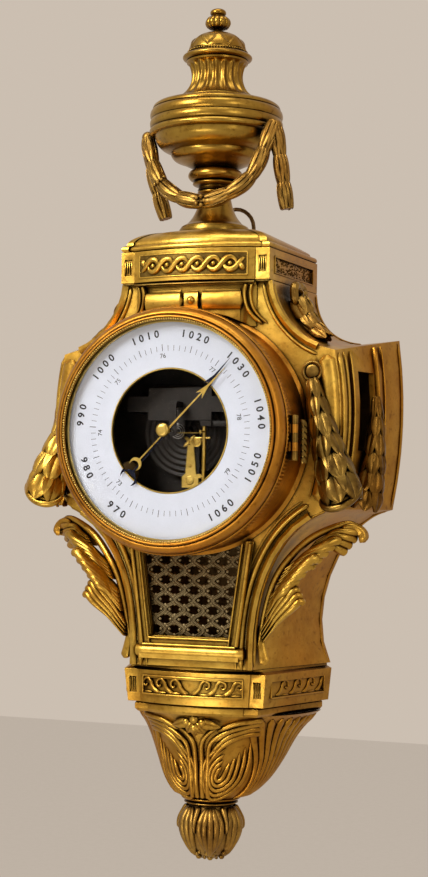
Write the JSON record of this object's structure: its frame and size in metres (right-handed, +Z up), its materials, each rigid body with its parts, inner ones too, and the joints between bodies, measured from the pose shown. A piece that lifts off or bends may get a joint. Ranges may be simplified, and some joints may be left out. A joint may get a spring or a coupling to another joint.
{
  "type": "wall barometer",
  "caption": "Louis XVI style gilt bronze cartel barometer: open dial with aneroid movement, urn, laurels, grille and bud finial.",
  "frame": {"origin": "point where the dial axis meets the wall, on the flat back", "axes": "+Z up the wall, -Y out of the wall to the viewer, +X to the viewer's right"},
  "size_m": [0.29, 0.1634, 0.6943],
  "materials": {
    "gilt_bronze": "satin gilt bronze with darker recesses",
    "brass": "polished",
    "bronze_grille": "dull brown patina",
    "blackened_steel": "blackened",
    "steel": "satin",
    "blued_steel": "blued",
    "dial_white": "white enamel with black scale",
    "glass": "clear"
  },
  "bodies": {
    "case": {"case_body": "gilt_bronze", "back_plate": "brass", "movement_drum": "gilt_bronze", "hinge_bracket": "gilt_bronze", "hinge_pin": "brass", "dial": "dial_white", "dial_rim": "brass", "movement_plate": "blackened_steel", "capsule_base": "blackened_steel", "spring_bridge": "blackened_steel", "main_spring": "blued_steel", "regulator_bracket": "blackened_steel", "arbor_cock": "blackened_steel", "hairspring": "steel", "upper_neck": "gilt_bronze", "upper_frieze": "gilt_bronze", "cap": "gilt_bronze", "hanging_loop": "steel", "grille": "bronze_grille", "grille_frame": "gilt_bronze", "lower_frieze": "gilt_bronze", "lower_moulding": "gilt_bronze", "bowl": "gilt_bronze", "bud_finial": "gilt_bronze", "lower_tie_rod": "steel", "lower_nut": "brass", "urn_foot": "gilt_bronze", "urn_body": "gilt_bronze", "urn_neck": "gilt_bronze", "urn_lid": "gilt_bronze", "urn_finial": "gilt_bronze", "urn_garland": "gilt_bronze", "urn_tie_rod": "steel", "urn_nut": "brass", "ear_laurel_right": "gilt_bronze", "ear_laurel_left": "gilt_bronze", "side_laurel_right": "gilt_bronze", "side_laurel_left": "gilt_bronze", "shoulder_drop_right": "gilt_bronze", "shoulder_drop_left": "gilt_bronze", "acanthus_leaf_right": "gilt_bronze", "acanthus_leaf_left": "gilt_bronze"},
    "bezel_door": {"bezel": "gilt_bronze", "bead_ring": "brass", "glass": "glass"},
    "setting_hand": {"set_hand": "brass", "set_knob": "brass"},
    "pointer_group": {"pointer": "blued_steel", "pointer_arbor": "steel"},
    "chain": {"fusee_chain": "brass"},
    "regulator": {"regulator_shaft": "brass"},
    "link": {"link_rod": "brass"},
    "lever": {"main_lever": "steel", "lever_end": "brass"},
    "capsule_front": {"capsule_top": "blackened_steel", "capsule_post": "steel"},
    "set_screw": {"adjusting_screw": "steel"}
  },
  "joints": [
    {"name": "pointer_turn", "type": "hinge", "parent": "case", "child": "pointer_group", "pos_m": [0, -0.14, 0], "axis": [0, 1, 0], "range_deg": [-171, 89]},
    {"name": "regulator_rock", "type": "hinge", "parent": "case", "child": "regulator", "pos_m": [0.022, -0.13, 0], "axis": [0, 0, 1], "range_deg": [-13.1, 25.2]},
    {"name": "lever_rock", "type": "hinge", "parent": "case", "child": "lever", "pos_m": [0, -0.11925, 0.031], "axis": [1, 0, 0], "range_deg": [-2.4, 1.3]},
    {"name": "link_slide", "type": "slide", "parent": "case", "child": "link", "axis": [0, 1, 0], "range_m": [-0.00263, 0.00137]},
    {"name": "capsule_breathe", "type": "slide", "parent": "case", "child": "capsule_front", "axis": [0, 1, 0], "range_m": [-0.00126, 0.00066]},
    {"name": "chain_draw", "type": "slide", "parent": "case", "child": "chain", "axis": [1, 0, 0], "range_m": [-0.00195, 0.00374]},
    {"name": "bezel_hinge", "type": "hinge", "parent": "case", "child": "bezel_door", "pos_m": [0.0986, -0.1416, 0], "axis": [0, 0, 1], "range_deg": [0, 105]},
    {"name": "set_hand_turn", "type": "hinge", "parent": "bezel_door", "child": "setting_hand", "pos_m": [0, -0.155, 0], "axis": [0, 1, 0], "continuous": true},
    {"name": "set_screw_turn", "type": "hinge", "parent": "case", "child": "set_screw", "pos_m": [0, -0.05, -0.024], "axis": [0, 1, 0], "range_deg": [-360, 360]}
  ],
  "couplings": [
    {"joint": "regulator_rock", "follows": "pointer_turn", "ratio": -0.147},
    {"joint": "lever_rock", "follows": "pointer_turn", "ratio": 0.01357},
    {"joint": "link_slide", "follows": "pointer_turn", "m_per_rad": 0.00088},
    {"joint": "capsule_breathe", "follows": "pointer_turn", "m_per_rad": 0.00042},
    {"joint": "chain_draw", "follows": "pointer_turn", "m_per_rad": -0.00125}
  ]
}
